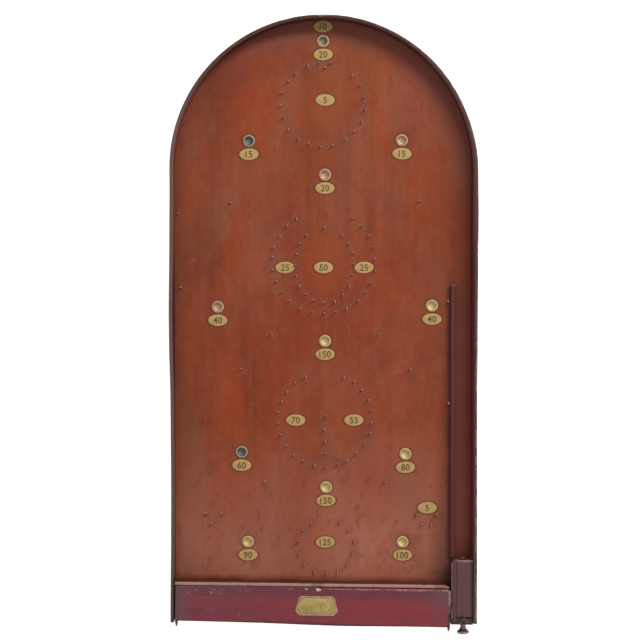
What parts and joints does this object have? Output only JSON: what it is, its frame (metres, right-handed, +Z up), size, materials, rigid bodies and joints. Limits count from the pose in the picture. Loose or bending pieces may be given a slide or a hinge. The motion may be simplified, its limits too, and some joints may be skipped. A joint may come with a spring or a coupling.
{
  "type": "bagatelle board",
  "caption": "Arched wooden bagatelle board with brass pins and sunk scoring cups, a sprung plunger lane and a hinged ball-box lid, with a folding prop underneath.",
  "frame": {"origin": "middle of the overall box, on the surface that the board lies on", "axes": "+Y from the player's end to the arch, +X to the shooting lane's side, +Z up"},
  "size_m": [0.381, 0.774, 0.054],
  "materials": {
    "mahogany": "worn orange-brown varnish",
    "rim_ply": "worn grey-brown bent ply",
    "red_wood": "maroon stain, scuffed",
    "dark_wood": "dark red-brown stain",
    "worn_wood": "stain worn through to pale wood",
    "knob_wood": "greyish tan, handled",
    "brass": "aged bright brass",
    "gilt": "thin gilt sheet with dark print",
    "steel": "dull steel wire"
  },
  "bodies": {
    "board": {"cup_100": "brass", "cup_150_lower": "brass", "cup_150_upper": "brass", "cup_15_left": "brass", "cup_15_right": "brass", "cup_20_centre": "brass", "cup_20_top": "brass", "cup_40_left": "brass", "cup_40_right": "brass", "cup_60": "brass", "cup_80": "brass", "cup_90": "brass", "end_rail": "red_wood", "inner_rail": "worn_wood", "lane_divider": "dark_wood", "lid_pivot_left": "steel", "lid_pivot_right": "steel", "pin_horseshoe_inner": "brass", "pin_horseshoe_outer": "brass", "pin_ring_bottom": "brass", "pin_ring_middle": "brass", "pin_ring_top": "brass", "pins_field_left": "brass", "pins_field_right": "brass", "playfield": "mahogany", "plunger_box_wall": "dark_wood", "plunger_cover": "dark_wood", "plunger_guide": "dark_wood", "plunger_spring": "steel", "prop_clip_left": "dark_wood", "prop_clip_right": "dark_wood", "rim_band": "rim_ply", "tag_10": "gilt", "tag_100": "gilt", "tag_125": "gilt", "tag_150_lower": "gilt", "tag_150_upper": "gilt", "tag_15_left": "gilt", "tag_15_right": "gilt", "tag_20_centre": "gilt", "tag_20_top": "gilt", "tag_25_left": "gilt", "tag_25_right": "gilt", "tag_40_left": "gilt", "tag_40_right": "gilt", "tag_50": "gilt", "tag_55": "gilt", "tag_5_pocket": "gilt", "tag_5_ring": "gilt", "tag_60": "gilt", "tag_70": "gilt", "tag_80": "gilt", "tag_90": "gilt"},
    "lid": {"ball_box_lid": "red_wood", "lid_cheek_left": "worn_wood", "lid_cheek_right": "worn_wood", "name_plate": "gilt"},
    "plunger": {"plunger_rod": "steel", "plunger_knob": "knob_wood"},
    "prop": {"prop_wire": "steel"}
  },
  "joints": [
    {"name": "lid_hinge", "type": "hinge", "parent": "board", "child": "lid", "pos_m": [-0.01333, -0.36448, 0.03455], "axis": [0.9998, -0.0192, 0], "range_deg": [0, 105]},
    {"name": "plunger_slide", "type": "slide", "parent": "board", "child": "plunger", "axis": [0, -1, 0], "range_m": [0, 0.03], "stiffness_N_per_m": 150, "springref_m": -0.01, "deforming": ["plunger_spring"]},
    {"name": "prop_hinge", "type": "hinge", "parent": "board", "child": "prop", "pos_m": [0, 0.19067, 0.0054], "axis": [-1, 0, 0], "range_deg": [0, 100]}
  ]
}
